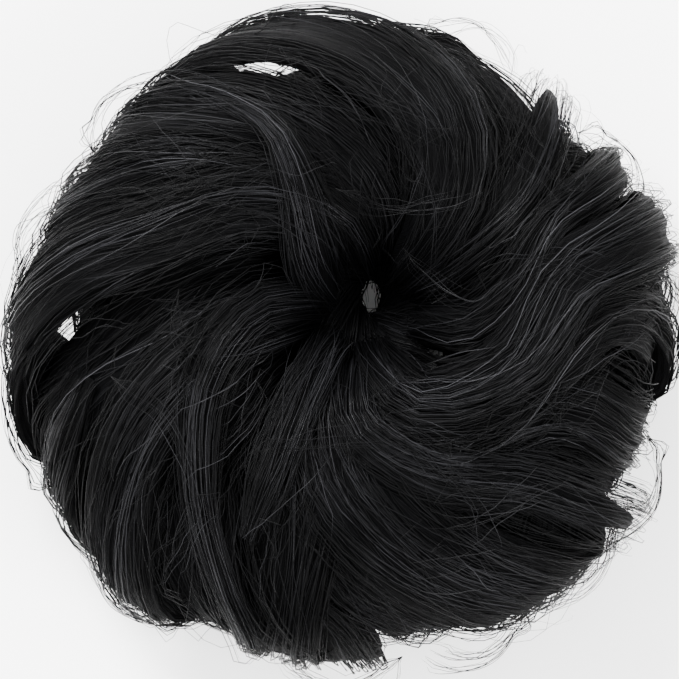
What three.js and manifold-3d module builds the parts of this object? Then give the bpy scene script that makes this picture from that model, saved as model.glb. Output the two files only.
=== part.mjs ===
// A messy bun hairpiece: long curved locks of hair, each tied by an eye round one elastic band.
// The locks rise through the funnel over the band, sweep across the crown in a loose swirl,
// turn over the rim and tuck in underneath. Millimetres, +Z up, band side resting on z = 0.

import * as THREE from 'three';
import { mergeVertices } from 'three/addons/utils/BufferGeometryUtils.js';
import Module from 'manifold-3d';

const wasm = await Module();
wasm.setup();

// Driving dimensions, mm
const BUN_DIAMETER = 150;
const BUN_HEIGHT = 57;
const THROAT_DIAMETER = 13;
const HOLE_OFF_RIGHT = 5;
const HOLE_OFF_UP = 8;
const BAND_BORE = 40;
const CORD_DIAMETER = 5;
const BAND_LEVEL = 11;
const EYE_WIDTH = 2.7;
const EYE_WALL = 1.8;
const LOCK_WIDTH = 24;
const LOCK_THICKNESS = 7.4;
const LAYER_STEP = 5.6;
const LOCK_GAP = 0.4;
const REST_FLAT = 1.4;
const FIRST_ROOT_DEG = -5;

// How a lock changes along its length, as shares of that length
const SPREADS = { crown: [0.12, 0.42], inner: [0.28, 0.6], rim: [0.1, 0.42] };
const FLATTENS = [0.08, 0.25];
const TIP_FROM = 0.78;
const TIP_LOSS = 0.62;

// Where round the bun's section a crown lock takes its own reach, and where it tucks in
const TAKES_REACH_DEG = [60, 160];
const TUCKS_IN_DEG = [180, 250];
const TUCK_LAYERS = 1.3;

// Smoothness of the meshes
const ROUTE_STEP_DEG = 24;
const STATION_COUNTS = { crown: 10, inner: 7, rim: 8 };
const SECTION_SIDES = 6;
const SMOOTHING = 0.08;
const WELD = 1e-4;
const CORD_SIDES = 8;
const EYE_SIDES = 6;

// Worked out from the driving dimensions
const bandRadius = (BAND_BORE + CORD_DIAMETER) / 2;
const bunRadius = BUN_DIAMETER / 2;
const throatRadius = THROAT_DIAMETER / 2;
const riseHalf = (BUN_HEIGHT + REST_FLAT) / 2;
const middleLevel = BUN_HEIGHT - riseHalf;
const eyeHalf = CORD_DIAMETER / 2 + LOCK_GAP + EYE_WALL;

// Where round the section the named bearings of a row apply, in degrees from the throat.
const CROWN_STOPS_DEG = { throat: 8, inner: 58, crown: 100, shoulder: 140, rim: 180, under: 235 };
const RIM_STOPS_DEG = { leaves: 268, under: 225, rim: 190, shoulder: 158 };
const RIM_LOOP_DROP = 0.6;

// Each row is one lock, in the order that their eyes sit round the band.
// kind: crown goes up through the funnel and over, rim comes out underneath and turns up.
// layer: how many layer steps the lock lies below the outermost hair.
// width, thick, reach: shares of LOCK_WIDTH, LOCK_THICKNESS and the way from the hole to the rim.
// throat to under: compass bearing of the lock about the hole, degrees from +X towards +Y,
// where it leaves the funnel, at a quarter of the way out, at the crown, the shoulder,
// the rim and underneath. end: how far round the rim's section it goes, 180 being the rim.
const LOCK_COLUMNS = ['name', 'kind', 'layer', 'width', 'thick', 'reach',
  'throat', 'inner', 'crown', 'shoulder', 'rim', 'under', 'end'];
const LOCK_ROWS = [
  ['right_rim_loop', 'rim', 1.3, 0.9, 0.9, 1.03, 0, 0, -8, 4, 0, -12, 130],
  ['right_high_lock', 'crown', 0.5, 0.6, 0.9, 1.03, -12, -6, 23, 28, 30, 36, 230],
  ['upper_right_rim_loop', 'rim', 1.3, 0.9, 0.9, 0.97, 0, 0, 56, 42, 36, 26, 126],
  ['upper_right_lock', 'crown', 1.3, 0.9, 0.9, 1.02, 22, 30, 40, 60, 86, 102, 262],
  ['tip_lock', 'crown', 0.6, 0.6, 0.8, 1.06, 28, 32, 38, 47, 50, 50, 196],
  ['arch_lock', 'crown', 0.3, 0.85, 1.0, 1.01, 38, 47, 64, 92, 120, 138, 255],
  ['top_rim_loop', 'rim', 1.4, 0.9, 0.9, 1.00, 0, 0, 106, 96, 86, 74, 126],
  ['upper_lock', 'crown', 0.9, 0.95, 1.0, 1.01, 72, 88, 114, 134, 145, 155, 262],
  ['left_cross_lock', 'crown', 0.3, 0.7, 1.0, 1.00, 92, 114, 157, 172, 185, 197, 255],
  ['upper_left_lock', 'crown', 1.0, 0.8, 1.0, 1.02, 104, 122, 138, 157, 166, 176, 262],
  ['high_left_lock', 'crown', 2.0, 1.1, 1.0, 1.01, 116, 126, 134, 145, 160, 170, 262],
  ['upper_left_rim_loop', 'rim', 1.4, 0.9, 0.9, 0.99, 0, 0, 158, 150, 140, 128, 126],
  ['front_lock', 'crown', -0.3, 0.55, 1.1, 1.03, 160, 124, 117, 128, 132, 138, 240],
  ['left_lock', 'crown', 1.9, 1.3, 1.0, 1.00, 160, 176, 196, 208, 216, 226, 262],
  ['upright_lock', 'crown', 0.1, 0.5, 1.0, 1.00, 172, 182, 224, 246, 252, 256, 225],
  ['lower_left_lock', 'crown', 0.6, 0.7, 1.0, 1.03, 182, 192, 205, 221, 232, 240, 255],
  ['left_rim_loop', 'rim', 0.9, 0.9, 0.9, 1.03, 0, 0, 170, 180, 190, 202, 128],
  ['low_left_lock', 'crown', 1.6, 1.1, 1.0, 1.02, 200, 208, 218, 235, 248, 254, 262],
  ['lower_left_rim_loop', 'rim', 1.0, 0.9, 0.9, 1.01, 0, 0, 194, 204, 212, 224, 128],
  ['centre_lock', 'crown', 0.2, 0.45, 0.7, 1.01, 224, 236, 242, 243, 243, 243, 108],
  ['lower_lock', 'crown', 1.1, 0.9, 1.0, 1.02, 236, 246, 253, 256, 257, 262, 262],
  ['bottom_rim_loop', 'rim', 1.4, 0.9, 0.9, 1.00, 0, 0, 252, 262, 266, 262, 126],
  ['bottom_lock', 'crown', 1.5, 0.9, 1.0, 1.00, 246, 252, 267, 279, 286, 294, 262],
  ['fan_lock', 'crown', 0.6, 1.1, 1.0, 1.01, 252, 258, 279, 296, 305, 314, 262],
  ['right_lower_lock', 'crown', 0.3, 0.6, 0.9, 1.06, 260, 268, 309, 319, 321, 322, 205],
  ['right_middle_lock', 'crown', 1.0, 0.8, 1.0, 1.00, 264, 272, 330, 333, 334, 338, 262],
  ['right_upper_lock', 'crown', 0.6, 0.75, 1.0, 0.98, 272, 290, 350, 360, 356, 350, 262],
  ['right_cross_lock', 'crown', 0.0, 0.7, 1.0, 1.03, 280, 308, 366, 374, 376, 380, 250],
  ['lower_right_rim_loop', 'rim', 1.5, 1.0, 0.9, 0.97, 0, 0, 318, 309, 302, 300, 126],
  ['right_low_rim_loop', 'rim', 1.6, 1.0, 0.9, 0.96, 0, 0, 346, 338, 332, 326, 126],
];
const shownLocks = LOCK_ROWS.map((row) => Object.fromEntries(row.map((v, i) => [LOCK_COLUMNS[i], v])));

// The inner locks fill the bun under the shown ones, evenly round the band, all alike.
const INNER_COUNT = 6;
const INNER_LAYER = 3;
const INNER_WIDTH = 1.6;
const INNER_THICK = 1.2;
const INNER_SWIRL_DEG = 12;
const INNER_REACH = 0.99;
const INNER_END = 250;
function innerLock(index) {
  const bearing = FIRST_ROOT_DEG + ((index + 0.5) * 360) / INNER_COUNT;
  const lock = { name: `inner_lock_${index + 1}`, kind: 'inner', layer: INNER_LAYER, width: INNER_WIDTH };
  Object.assign(lock, { thick: INNER_THICK, reach: INNER_REACH, end: INNER_END });
  Object.keys(CROWN_STOPS_DEG).forEach((stop, at) => {
    lock[stop] = bearing + INNER_SWIRL_DEG * at;
  });
  return lock;
}

// The shown locks in their order, with an inner lock after every few of them.
const locks = [];
const shownPerInner = shownLocks.length / INNER_COUNT;
shownLocks.forEach((lock, index) => {
  locks.push(lock);
  if ((index + 1) % shownPerInner === 0) {
    locks.push(innerLock((index + 1) / shownPerInner - 1));
  }
});

const rootStep = 360 / locks.length;

const toRadians = THREE.MathUtils.degToRad;
const smooth = THREE.MathUtils.smoothstep;

// Distance from the hole's axis to the round outline, along a bearing.
function outlineRadius(bearing) {
  const along = HOLE_OFF_RIGHT * Math.cos(bearing) + HOLE_OFF_UP * Math.sin(bearing);
  const offset = HOLE_OFF_RIGHT ** 2 + HOLE_OFF_UP ** 2;
  return Math.sqrt(bunRadius ** 2 - offset + along ** 2) - along;
}

// Half section of the bun on a bearing: an ellipse between the throat and the outline.
function sectionOn(bearing, reach) {
  const outer = outlineRadius(bearing) * reach;
  return { middle: (outer + throatRadius) / 2, half: (outer - throatRadius) / 2 };
}

// A point at an angle round that section (0 throat, 90 crown, 180 rim, 270 underside).
function shellPoint(aroundDeg, bearingDeg, depth, reach) {
  const bearing = toRadians(bearingDeg);
  const around = toRadians(aroundDeg);
  const section = sectionOn(bearing, reach);
  const radius = section.middle - (section.half - depth) * Math.cos(around);
  const level = middleLevel + (riseHalf - depth) * Math.sin(around);
  return new THREE.Vector3(radius * Math.cos(bearing), radius * Math.sin(bearing), level);
}

// Direction straight out of the bun's surface at a point.
function outward(point, reach) {
  const bearing = Math.atan2(point.y, point.x);
  const section = sectionOn(bearing, reach);
  const across = (Math.hypot(point.x, point.y) - section.middle) / section.half ** 2;
  const up = (point.z - middleLevel) / riseHalf ** 2;
  return new THREE.Vector3(across * Math.cos(bearing), across * Math.sin(bearing), up).normalize();
}

function bandPoint(bearingDeg, rise) {
  const bearing = toRadians(bearingDeg);
  return new THREE.Vector3(bandRadius * Math.cos(bearing), bandRadius * Math.sin(bearing), BAND_LEVEL + rise);
}

// Bearings along a lock, smoothly from stop to stop.
function bearingsOf(lock) {
  const names = Object.keys(CROWN_STOPS_DEG);
  const values = names.map((name) => lock[name]);
  return new THREE.CubicInterpolant(Object.values(CROWN_STOPS_DEG), values, 1, new Float32Array(1));
}

// The line that a crown lock follows: up through its eye, the funnel, the crown and the rim.
function crownRoute(lock, root) {
  const depth = (LOCK_THICKNESS * lock.thick) / 2 + LAYER_STEP * lock.layer;
  const points = [bandPoint(root, -eyeHalf), bandPoint(root, eyeHalf)];
  const bearings = bearingsOf(lock);
  const steps = Math.round((lock.end - CROWN_STOPS_DEG.throat) / ROUTE_STEP_DEG);
  for (let step = 0; step <= steps; step += 1) {
    const around = CROWN_STOPS_DEG.throat + ((lock.end - CROWN_STOPS_DEG.throat) * step) / steps;
    const bearing = bearings.evaluate(Math.min(around, CROWN_STOPS_DEG.under))[0];
    const tucked = LAYER_STEP * TUCK_LAYERS * smooth(around, ...TUCKS_IN_DEG);
    const reach = 1 + (lock.reach - 1) * smooth(around, ...TAKES_REACH_DEG);
    points.push(shellPoint(around, bearing, depth + tucked, reach));
  }
  return points;
}

// The line that a rim lock follows: down through its eye, out underneath and up the rim.
function rimRoute(lock, root) {
  const outer = (LOCK_THICKNESS * lock.thick) / 2;
  const depth = outer + LAYER_STEP * lock.layer;
  const points = [bandPoint(root, eyeHalf), bandPoint(root, -eyeHalf * RIM_LOOP_DROP)];
  points.push(shellPoint(RIM_STOPS_DEG.leaves, (root + lock.under) / 2, outer, lock.reach));
  points.push(shellPoint(RIM_STOPS_DEG.under, lock.under, outer, lock.reach));
  points.push(shellPoint(RIM_STOPS_DEG.rim, lock.rim, (outer + depth) / 2, lock.reach));
  points.push(shellPoint(RIM_STOPS_DEG.shoulder, lock.shoulder, depth, lock.reach));
  points.push(shellPoint(lock.end, lock.crown, depth, lock.reach));
  return points;
}

// Puts the flats of a section at its half width and thickness.
const SIDE_FILL = 1 / Math.cos(Math.PI / SECTION_SIDES);

// A flattened tube lofted along a line, narrow at its eye, full over the crown, thin at its tip.
function lockSolid(lock, root, grow) {
  const points = lock.kind === 'rim' ? rimRoute(lock, root) : crownRoute(lock, root);
  const line = new THREE.CatmullRomCurve3(points, false, 'centripetal');
  const stations = STATION_COUNTS[lock.kind];
  const positions = [];
  for (let station = 0; station < stations; station += 1) {
    const along = station / (stations - 1);
    const centre = line.getPointAt(along);
    const forward = line.getTangentAt(along);
    const out = outward(centre, lock.reach);
    out.addScaledVector(forward, -out.dot(forward)).normalize();
    const side = new THREE.Vector3().crossVectors(forward, out);
    if (station === 0 || station === stations - 1) {
      centre.addScaledVector(forward, station === 0 ? -grow : grow);
    }
    const spread = smooth(along, ...SPREADS[lock.kind]);
    const taper = 1 - TIP_LOSS * smooth(along, TIP_FROM, 1);
    const halfWidth = (EYE_WIDTH / 2 + ((LOCK_WIDTH * lock.width - EYE_WIDTH) / 2) * spread) * taper;
    const fullThick = (LOCK_THICKNESS * lock.thick) / 2;
    const halfThick = eyeHalf + (fullThick - eyeHalf) * smooth(along, ...FLATTENS);
    for (let corner = 0; corner < SECTION_SIDES; corner += 1) {
      const turn = ((corner + 0.5) * 2 * Math.PI) / SECTION_SIDES;
      const sideways = (halfWidth + grow) * Math.cos(turn) * SIDE_FILL;
      const outwards = (halfThick * taper + grow) * Math.sin(turn) * SIDE_FILL;
      positions.push(centre.clone().addScaledVector(side, sideways).addScaledVector(out, outwards));
    }
  }
  return loftedSolid(positions);
}

// Closes rings of section points into one solid with flat ends.
function loftedSolid(points) {
  const rings = points.length / SECTION_SIDES;
  const faces = [];
  for (let ring = 0; ring + 1 < rings; ring += 1) {
    for (let corner = 0; corner < SECTION_SIDES; corner += 1) {
      const a = ring * SECTION_SIDES + corner;
      const b = ring * SECTION_SIDES + ((corner + 1) % SECTION_SIDES);
      faces.push(a, a + SECTION_SIDES, b, b, a + SECTION_SIDES, b + SECTION_SIDES);
    }
  }
  const end = (rings - 1) * SECTION_SIDES;
  for (let corner = 1; corner + 1 < SECTION_SIDES; corner += 1) {
    faces.push(0, corner, corner + 1);
    faces.push(end, end + corner + 1, end + corner);
  }
  const geometry = new THREE.BufferGeometry().setFromPoints(points);
  geometry.setIndex(faces);
  return toSolid(geometry);
}

function toSolid(geometry) {
  geometry.deleteAttribute('normal');
  geometry.deleteAttribute('uv');
  const merged = mergeVertices(geometry, WELD);
  const vertProperties = new Float32Array(merged.attributes.position.array);
  const triVerts = new Uint32Array(merged.index.array);
  return new wasm.Manifold(new wasm.Mesh({ numProp: 3, vertProperties, triVerts }));
}

function toGeometry(solid) {
  const mesh = solid.getMesh();
  const geometry = new THREE.BufferGeometry();
  geometry.setAttribute('position', new THREE.BufferAttribute(new Float32Array(mesh.vertProperties), 3));
  geometry.setIndex(new THREE.BufferAttribute(new Uint32Array(mesh.triVerts), 1));
  geometry.computeVertexNormals();
  return geometry;
}

// The band is a ring of short straight runs, one through the middle of each eye.
function ringSolid(sides, radius) {
  const torus = new THREE.TorusGeometry(bandRadius, radius, sides, locks.length);
  torus.rotateZ(toRadians(FIRST_ROOT_DEG - rootStep / 2));
  torus.translate(0, 0, BAND_LEVEL);
  return toSolid(torus);
}

// The block under z = 0, which presses the lowest hair flat where it rests.
function floorSolid() {
  const block = new THREE.BoxGeometry(2 * BUN_DIAMETER, 2 * BUN_DIAMETER, BUN_HEIGHT);
  block.translate(0, 0, -BUN_HEIGHT / 2);
  return toSolid(block);
}

// Largest single body of a cut lock.
function mainBody(solid) {
  const bodies = solid.decompose();
  return bodies.reduce((best, body) => (body.volume() > best.volume() ? body : best));
}

const bun = new THREE.Group();

const bandMaterial = new THREE.MeshStandardMaterial({ color: 0x15141a, roughness: 0.85, metalness: 0 });
const band = new THREE.Mesh(toGeometry(ringSolid(CORD_SIDES, CORD_DIAMETER / 2)), bandMaterial);
band.name = 'elastic_band';
bun.add(band);

const boreRadius = (CORD_DIAMETER / 2 + LOCK_GAP) / Math.cos(Math.PI / EYE_SIDES);
const eyeBore = ringSolid(EYE_SIDES, boreRadius);
const floorBlock = floorSolid();
const ordered = locks
  .map((lock, index) => ({ ...lock, root: FIRST_ROOT_DEG + index * rootStep }))
  .sort((a, b) => a.layer - b.layer);

// Outer locks keep their whole shape, and each lock below is hollowed to clear those above it,
// by the gap from their grown shapes and wholly from the shapes themselves.
const hairColours = [0x17161a, 0x1b1a1e, 0x131216];
const above = [];
ordered.forEach((lock, index) => {
  let solid = lockSolid(lock, lock.root, 0).subtract(floorBlock).subtract(eyeBore);
  for (const upper of above) {
    solid = solid.subtract(upper.grown);
  }
  for (const upper of above) {
    if (solid.intersect(upper.kept).volume() > 0) {
      solid = solid.subtract(upper.kept);
    }
  }
  const kept = mainBody(solid.simplify(SMOOTHING));
  above.push({ grown: lockSolid(lock, lock.root, LOCK_GAP), kept });
  const material = new THREE.MeshStandardMaterial({ roughness: 0.42, metalness: 0 });
  material.color.set(hairColours[index % hairColours.length]);
  const mesh = new THREE.Mesh(toGeometry(kept), material);
  mesh.name = lock.name;
  bun.add(mesh);
});

// The origin is under the middle of the outline, on the surface that the bun rests on.
const box = new THREE.Box3().setFromObject(bun);
const middle = box.getCenter(new THREE.Vector3());
bun.position.set(-middle.x, -middle.y, 0);
bun.updateMatrixWorld(true);

export default bun;
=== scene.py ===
import math
import random

import bpy
import numpy as np
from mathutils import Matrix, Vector


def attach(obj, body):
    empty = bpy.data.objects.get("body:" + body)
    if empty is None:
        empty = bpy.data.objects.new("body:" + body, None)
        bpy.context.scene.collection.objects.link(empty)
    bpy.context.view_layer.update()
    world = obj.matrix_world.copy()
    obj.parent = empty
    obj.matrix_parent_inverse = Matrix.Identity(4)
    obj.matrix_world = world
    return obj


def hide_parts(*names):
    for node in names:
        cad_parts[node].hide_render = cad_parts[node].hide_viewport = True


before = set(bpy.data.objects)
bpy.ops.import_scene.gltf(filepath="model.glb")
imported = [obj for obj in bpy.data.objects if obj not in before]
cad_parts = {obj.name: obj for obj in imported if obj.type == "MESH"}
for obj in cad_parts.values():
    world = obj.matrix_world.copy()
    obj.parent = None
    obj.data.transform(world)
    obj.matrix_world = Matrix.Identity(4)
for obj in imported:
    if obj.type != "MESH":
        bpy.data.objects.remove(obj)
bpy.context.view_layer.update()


# ---- Elastic band -----------------------------------------------------------------------------
# A covered elastic ring, about 5 mm thick and 40 mm inside, that every lock is tied round.
# Its cover is a fine black braid, so its surface is matt with small slanting ribs.

BAND_RADIUS = 0.0225
CORD_RADIUS = 0.0025
BAND_LEVEL = 0.011
HOLE_AXIS = Vector((0.00588, 0.0065, 0))
BAND_TURNS = 144
CORD_SIDES = 16
BRAID_RIBS_ALONG = 120
BRAID_RIBS_AROUND = 6
BRAID_DEPTH = 0.0003
COVER_BLACK = (0.010, 0.010, 0.012)
COVER_GREY = (0.035, 0.035, 0.040)


class Flow:
    """A value on its way through a node tree: a sum written with it adds the maths nodes."""

    def __init__(self, socket):
        self.socket = socket
        self.tree = socket.id_data

    def is_vector(self):
        return self.socket.type == "VECTOR"

    def join(self, operation, first, second):
        vectors = [isinstance(v, Flow) and v.is_vector() for v in (first, second)]
        if not any(vectors):
            return node(self.tree, "ShaderNodeMath", {"operation": operation},
                        {0: first, 1: second})
        if operation == "MULTIPLY" and not all(vectors):
            scaled, by = (first, second) if vectors[0] else (second, first)
            return node(self.tree, "ShaderNodeVectorMath", {"operation": "SCALE"},
                        {0: scaled, "Scale": by})
        return node(self.tree, "ShaderNodeVectorMath", {"operation": operation},
                    {0: first, 1: second})

    def __add__(self, other):
        return self.join("ADD", self, other)

    def __radd__(self, other):
        return self.join("ADD", other, self)

    def __sub__(self, other):
        return self.join("SUBTRACT", self, other)

    def __rsub__(self, other):
        return self.join("SUBTRACT", other, self)

    def __mul__(self, other):
        return self.join("MULTIPLY", self, other)

    def __rmul__(self, other):
        return self.join("MULTIPLY", other, self)

    def __truediv__(self, other):
        return self.join("DIVIDE", self, other)

    def __rtruediv__(self, other):
        return self.join("DIVIDE", other, self)

    def __pow__(self, other):
        return self.join("POWER", self, other)

    def __rpow__(self, other):
        return self.join("POWER", other, self)

    def wave(self):
        return node(self.tree, "ShaderNodeMath", {"operation": "SINE"}, {0: self})

    def ease(self, low, high):
        """Goes smoothly from 0 at low to 1 at high."""
        return node(self.tree, "ShaderNodeMapRange", {"interpolation_type": "SMOOTHSTEP"},
                    {"Value": self, "From Min": low, "From Max": high})


def node(tree, kind, settings=None, values=None, output=0):
    """Adds one node: its settings first, then the values or flows of its sockets."""
    made = tree.nodes.new(kind)
    for name, value in (settings or {}).items():
        setattr(made, name, value)
    for key, value in (values or {}).items():
        socket = made.inputs[key] if isinstance(key, int) else next(
            s for s in made.inputs if s.name == key and s.enabled)
        if isinstance(value, Flow):
            tree.links.new(value.socket, socket)
        elif socket.type == "RGBA":
            socket.default_value = (*value, 1)
        else:
            socket.default_value = value
    return Flow([s for s in made.outputs if s.enabled][output]) if made.outputs else None


def material_tree(name):
    """A new material, its node tree and the one shader in it."""
    material = bpy.data.materials.new(name)
    material.use_nodes = True
    tree = material.node_tree
    shader = next(n for n in tree.nodes if n.type == "BSDF_PRINCIPLED")
    return material, tree, shader


def mix(tree, amount, first, second):
    """A colour between two others."""
    return node(tree, "ShaderNodeMix", {"data_type": "RGBA"},
                {"Factor": amount, "A": first, "B": second})


def braided_cover():
    """Ribs where two sets of threads cross, slanting to either side round the cord."""
    material, tree, shader = material_tree("braided elastic cover")
    turn = node(tree, "ShaderNodeUVMap", {"uv_map": "cover"})
    along = node(tree, "ShaderNodeSeparateXYZ", values={"Vector": turn}, output=0)
    around = node(tree, "ShaderNodeSeparateXYZ", values={"Vector": turn}, output=1)
    along = along * BRAID_RIBS_ALONG * math.tau
    around = around * BRAID_RIBS_AROUND * math.tau
    left = (along + around).wave()
    right = (along - around).wave()
    ribs = (left * right) * 0.5 + 0.5
    dust = node(tree, "ShaderNodeTexNoise", values={
        "Vector": node(tree, "ShaderNodeTexCoord", output=3), "Scale": 900.0, "Detail": 3.0})
    colour = mix(tree, ribs * 0.7 + dust * 0.3, COVER_BLACK, COVER_GREY)
    bump = node(tree, "ShaderNodeBump", values={
        "Height": ribs, "Strength": 0.8, "Distance": BRAID_DEPTH})
    tree.links.new(colour.socket, shader.inputs["Base Color"])
    tree.links.new((0.95 - ribs * 0.2).socket, shader.inputs["Roughness"])
    tree.links.new(bump.socket, shader.inputs["Normal"])
    return material


def ring_mesh(name, turns, sides):
    """A closed ring with a cover map: first length round the ring, then round the cord."""
    points = []
    for turn in range(turns):
        bearing = math.tau * turn / turns
        for side in range(sides):
            angle = math.tau * side / sides
            reach = BAND_RADIUS + CORD_RADIUS * math.cos(angle)
            points.append(HOLE_AXIS + Vector((reach * math.cos(bearing), reach * math.sin(bearing),
                                              BAND_LEVEL + CORD_RADIUS * math.sin(angle))))
    faces, map_points = [], []
    for turn in range(turns):
        for side in range(sides):
            after, beside = (turn + 1) % turns, (side + 1) % sides
            faces.append((turn * sides + side, after * sides + side,
                          after * sides + beside, turn * sides + beside))
            for t, s in ((turn, side), (turn + 1, side), (turn + 1, side + 1), (turn, side + 1)):
                map_points += [t / turns, s / sides]
    mesh = bpy.data.meshes.new(name)
    mesh.from_pydata(points, [], faces)
    mesh.uv_layers.new(name="cover").data.foreach_set("uv", map_points)
    mesh.polygons.foreach_set("use_smooth", [True] * len(faces))
    return mesh


ring = ring_mesh("covered_elastic_band", BAND_TURNS, CORD_SIDES)
band = bpy.data.objects.new("covered_elastic_band", ring)
bpy.context.scene.collection.objects.link(band)
band.data.materials.append(braided_cover())
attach(band, "root")
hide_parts("elastic_band")


# ---- Black hair -------------------------------------------------------------------------------
# Fine synthetic fibre, nearly black, with a soft grey sheen that comes and goes along a lock: a
# weak gloss, and highlight and shade painted into its colour in patches. Each strand has its own
# tone. The hair inside a lock is painted darker, as the shade under the strands, and only shows
# between strands. All the hair is painted darker towards the band, where it lies in shade.

HAIR_BLACK = (0.0002, 0.0002, 0.0003)
HAIR_GREY = (0.0085, 0.0085, 0.0095)
STRAY_GREY = (0.018, 0.018, 0.020)
HAIR_GLOSS = 0.06
# Painted shade: the hair is painted darker towards the band, from these shares of its way down.
SHADED_TO, LIT_FROM = 0.12, 0.45
FINE_STREAKS_PER_METRE = 5200
BROAD_STREAKS_PER_METRE = 1100
STREAK_DEPTH = 0.0008


def noise(tree, vector, scale, detail):
    return node(tree, "ShaderNodeTexNoise", values={
        "Vector": vector, "Scale": scale, "Detail": detail})


def painted_sheen_patches(tree, place):
    """Painted highlight and shade, in patches about 2 cm long, as where locks bend to the light."""
    return 0.3 + 1.1 * noise(tree, place, 42.0, 1.0).ease(0.36, 0.64)


def strand_material(name, sheen):
    """Separate strands: each has its own tone; painted shade darkens them towards the band."""
    material, tree, shader = material_tree(name)
    tone_and_painted_light = node(tree, "ShaderNodeAttribute", {"attribute_name": "tone_and_painted_light"}, output=2)
    along = node(tree, "ShaderNodeAttribute", {"attribute_name": "along"}, output=2)
    place = node(tree, "ShaderNodeTexCoord", output=3)
    cloud = noise(tree, place, 90.0, 2.0)
    # Painted light: the sheen patches and the shade towards the band scale each strand's tone.
    shade = painted_sheen_patches(tree, place) * (0.1 + 0.9 * along.ease(SHADED_TO, LIT_FROM))
    lit = ((tone_and_painted_light ** 3) * 1.1 + cloud * 0.06) * shade
    tree.links.new(mix(tree, lit, HAIR_BLACK, sheen).socket, shader.inputs["Base Color"])
    tree.links.new((0.64 + 0.1 * cloud - 0.36 * tone_and_painted_light).socket, shader.inputs["Roughness"])
    shader.inputs["Specular IOR Level"].default_value = HAIR_GLOSS
    return material


def packed_material():
    """Hair packed in a lock: streaks a fifth of a millimetre wide that run with the lock."""
    material, tree, shader = material_tree("packed synthetic hair")
    chart = node(tree, "ShaderNodeUVMap", {"uv_map": "fibres"})
    across = node(tree, "ShaderNodeSeparateXYZ", values={"Vector": chart}, output=0)
    along = node(tree, "ShaderNodeSeparateXYZ", values={"Vector": chart}, output=1)
    place = node(tree, "ShaderNodeTexCoord", output=3)
    shift = noise(tree, place, 60.0, 1.0)
    fine = noise(tree, node(tree, "ShaderNodeCombineXYZ", values={
        "X": across * FINE_STREAKS_PER_METRE + shift * 4, "Y": along * 60, "Z": 0.0}), 1.0, 3.0)
    broad = noise(tree, node(tree, "ShaderNodeCombineXYZ", values={
        "X": across * BROAD_STREAKS_PER_METRE, "Y": along * 25, "Z": 4.0}), 1.0, 2.0)
    streak = fine.ease(0.35, 0.75) * 0.7 + broad.ease(0.35, 0.7) * 0.3
    # Painted shade towards the band and painted highlight and shade in the sheen patches.
    way = node(tree, "ShaderNodeAttribute", {"attribute_name": "along"}, output=2)
    shade = way.ease(SHADED_TO, LIT_FROM) * painted_sheen_patches(tree, place)
    # Painted shade: the packed hair is kept to 0.4 of the grey, as the shade under the strands.
    colour = mix(tree, (streak ** 2) * shade * 0.4, HAIR_BLACK, HAIR_GREY)
    tree.links.new(colour.socket, shader.inputs["Base Color"])
    tree.links.new((0.72 - 0.3 * streak).socket, shader.inputs["Roughness"])
    bump = node(tree, "ShaderNodeBump", values={
        "Height": fine * 0.8 + broad, "Strength": 1.0, "Distance": STREAK_DEPTH})
    tree.links.new(bump.socket, shader.inputs["Normal"])
    shader.inputs["Specular IOR Level"].default_value = HAIR_GLOSS * 0.5
    return material


strand_hair = strand_material("black synthetic hair", HAIR_GREY)
stray_hair = strand_material("stray synthetic hair", STRAY_GREY)
packed_hair = packed_material()


# ---- Shown locks ------------------------------------------------------------------------------
# Long bundles of loose hair: each is tied to the band, rises through the middle, sweeps across
# the crown in the swirl, turns over the rim and tucks in underneath. Upper locks lie on lower.

BUN_RADIUS = 0.075
BUN_HEIGHT = 0.057
REST_FLAT = 0.0014
THROAT_RADIUS = 0.0065
HOLE_OFF = (0.005, 0.008)
EYE_HALF = 0.0047
EYE_WIDTH = 0.0027
LOCK_WIDTH = 0.024
LOCK_THICKNESS = 0.0074
LAYER_STEP = 0.0056
FIRST_ROOT_DEG = -5
ROOT_STEP_DEG = 10
CROWN_STOPS_DEG = (8, 58, 100, 140, 180, 235)
ROUTE_STEP_DEG = 24
TAKES_REACH_DEG = (60, 160)
SINKS_IN_DEG = (88, 150)
TUCKS_IN_DEG = (180, 250)
TUCK_LAYERS = 1.3
HALF_RISE = (BUN_HEIGHT + REST_FLAT) / 2
MIDDLE_LEVEL = BUN_HEIGHT - HALF_RISE

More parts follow.
